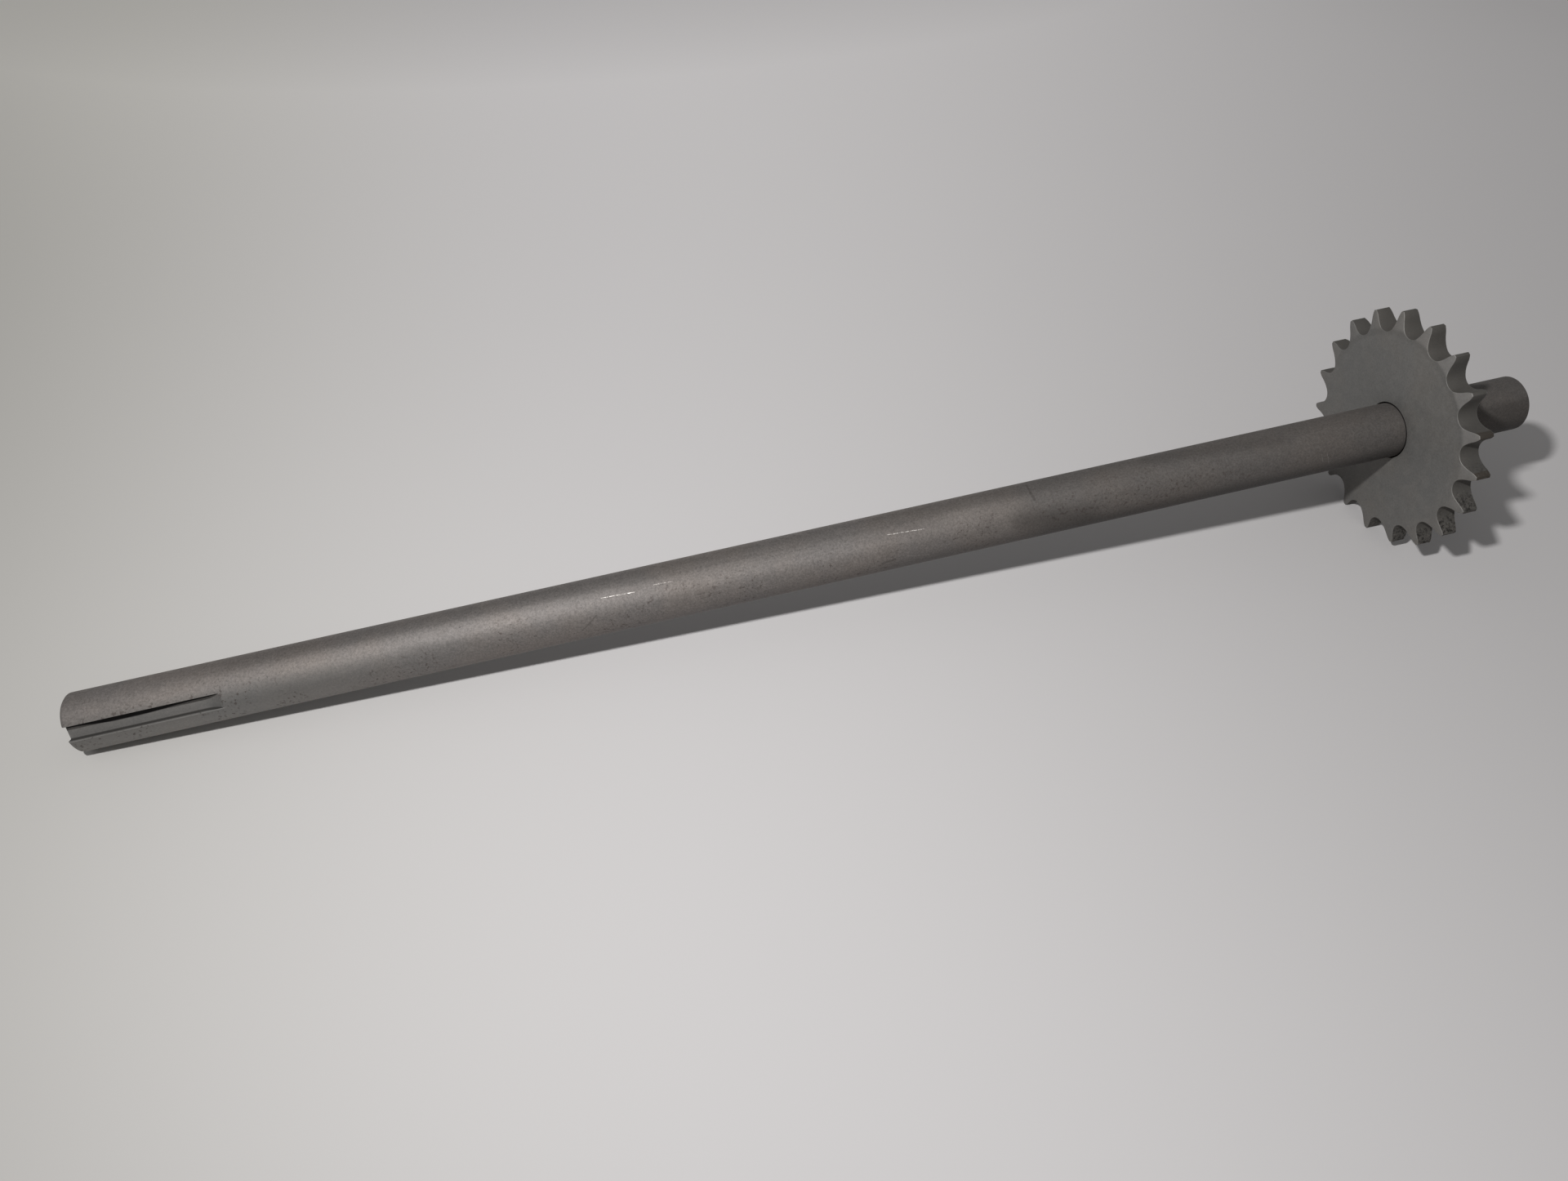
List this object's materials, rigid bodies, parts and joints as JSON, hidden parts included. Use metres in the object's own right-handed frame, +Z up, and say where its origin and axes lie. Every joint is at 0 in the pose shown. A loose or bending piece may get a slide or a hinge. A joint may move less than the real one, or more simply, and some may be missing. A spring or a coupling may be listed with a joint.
{
  "type": "sprocket shaft",
  "caption": "Round steel drive shaft with a milled keyway at one end and a flat plate sprocket for roller chain welded on near the other, leaving a short stub.",
  "frame": {"origin": "on the resting surface, under the middle of the overall length and in the plane of the bar's axis", "axes": "+X from the keyed end towards the sprocket end, along the surface; +Z up; -Y the side that the keyway faces. The bar's axis rises towards +X by 4.07 degrees, as the piece comes to rest."},
  "size_m": [0.6184, 0.1044, 0.1042],
  "materials": {
    "bar_steel": "blasted matte, darker towards the sprocket, with a few bright scratches",
    "plate_steel": "blasted matte, darker and pitted in the lower tooth spaces",
    "weld_steel": "blasted matte weld metal"
  },
  "bodies": {
    "root": {"shaft": "bar_steel", "sprocket": "plate_steel", "weld_bead": "weld_steel"}
  },
  "joints": []
}
